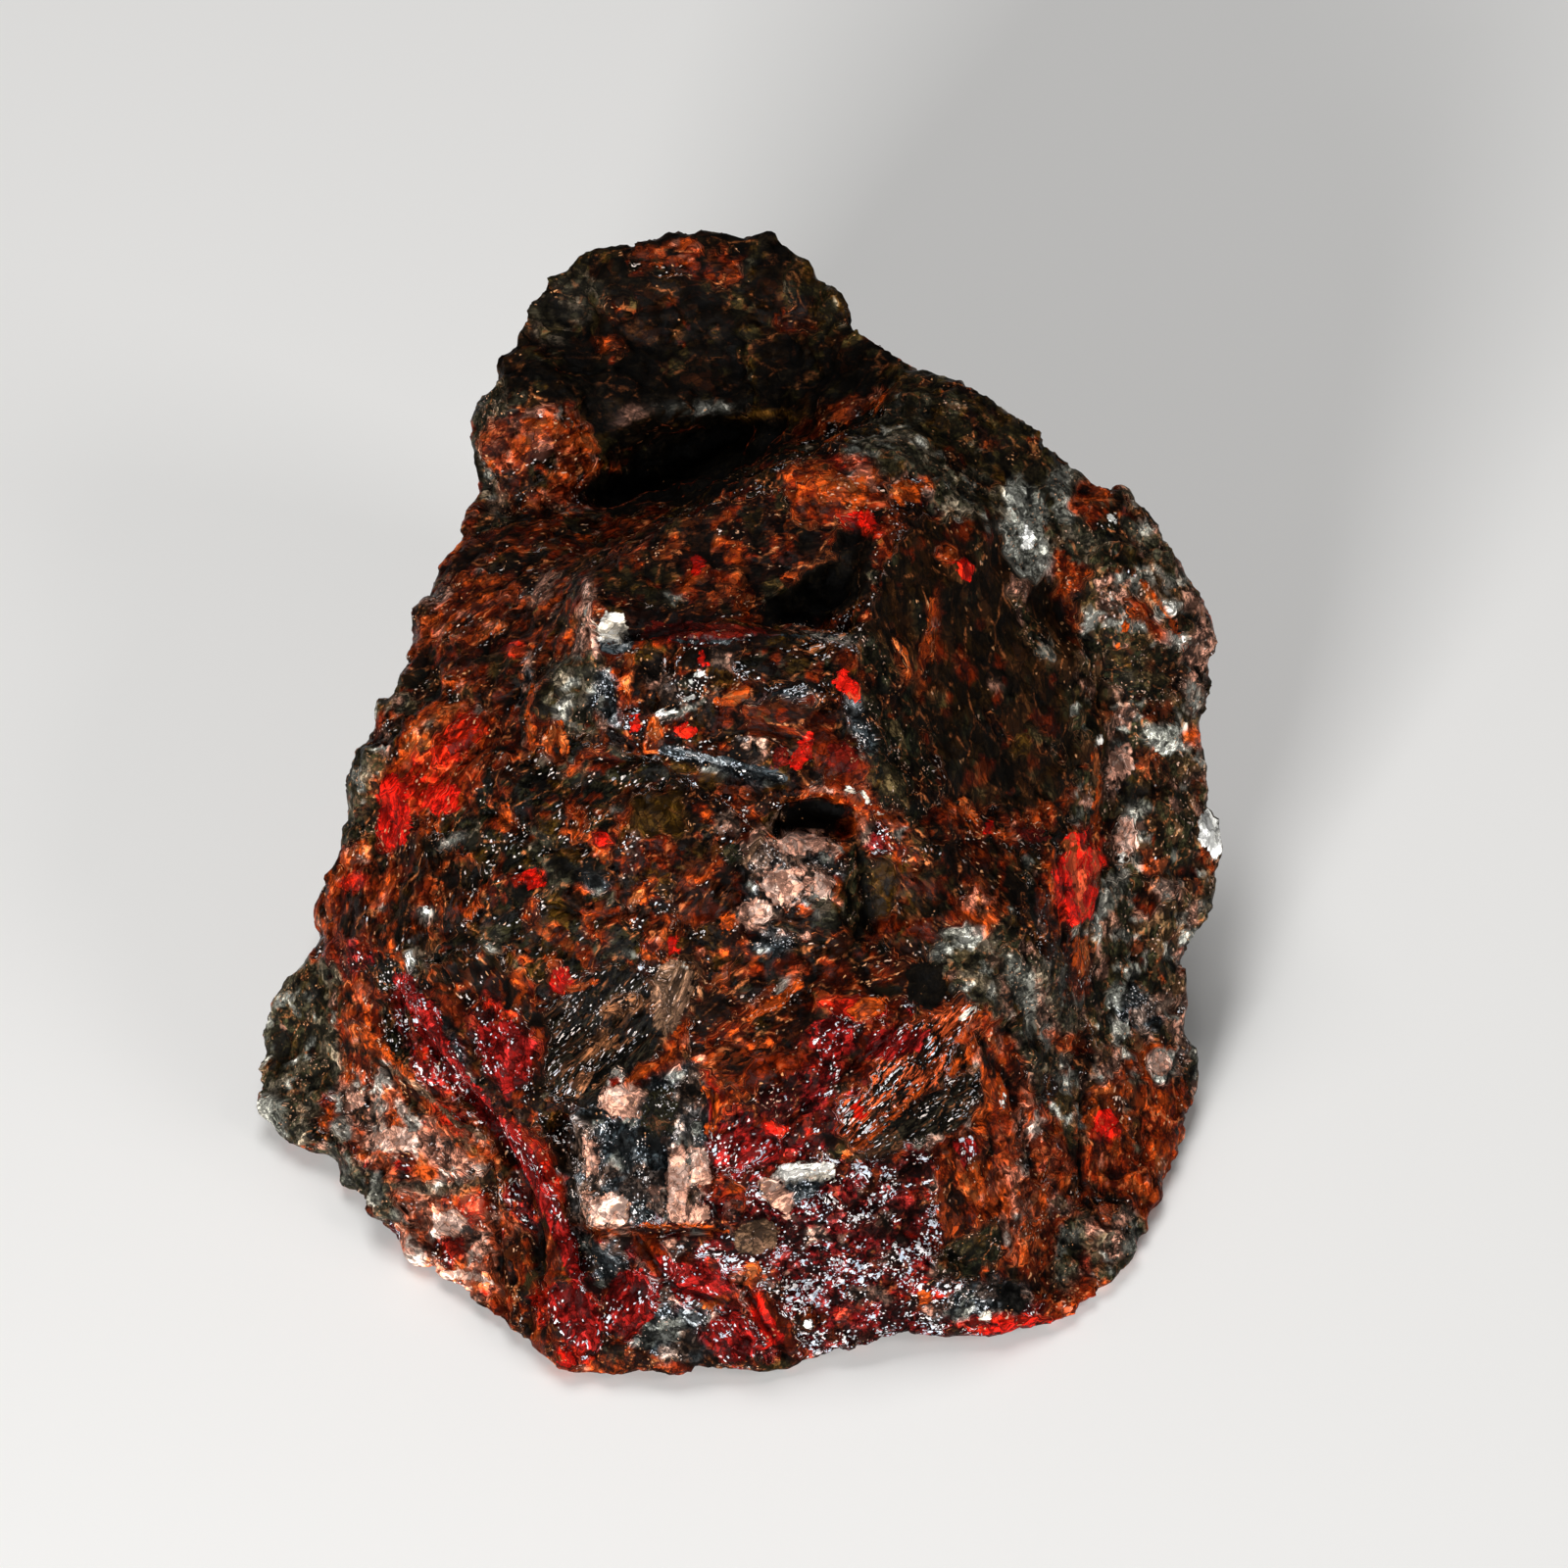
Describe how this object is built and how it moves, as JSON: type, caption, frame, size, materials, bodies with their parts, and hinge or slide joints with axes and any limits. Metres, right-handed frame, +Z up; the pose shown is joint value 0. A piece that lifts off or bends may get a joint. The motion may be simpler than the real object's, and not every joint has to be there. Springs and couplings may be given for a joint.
{
  "type": "diaspore specimen",
  "caption": "Rough hand specimen of massive diaspore rock with a steep broken front, a crest, a deep notch behind it and a flat resting sole.",
  "frame": {"origin": "centre of the bounding box at the level of the sole that the stone rests on", "axes": "+Z up from the sole, +Y away from the steep front along the stone's length, +X to the right as seen from the front"},
  "size_m": [0.0509, 0.0615, 0.03],
  "materials": {
    "rock": "broken, glassy grained"
  },
  "bodies": {
    "root": {"stone": "rock"}
  },
  "joints": []
}
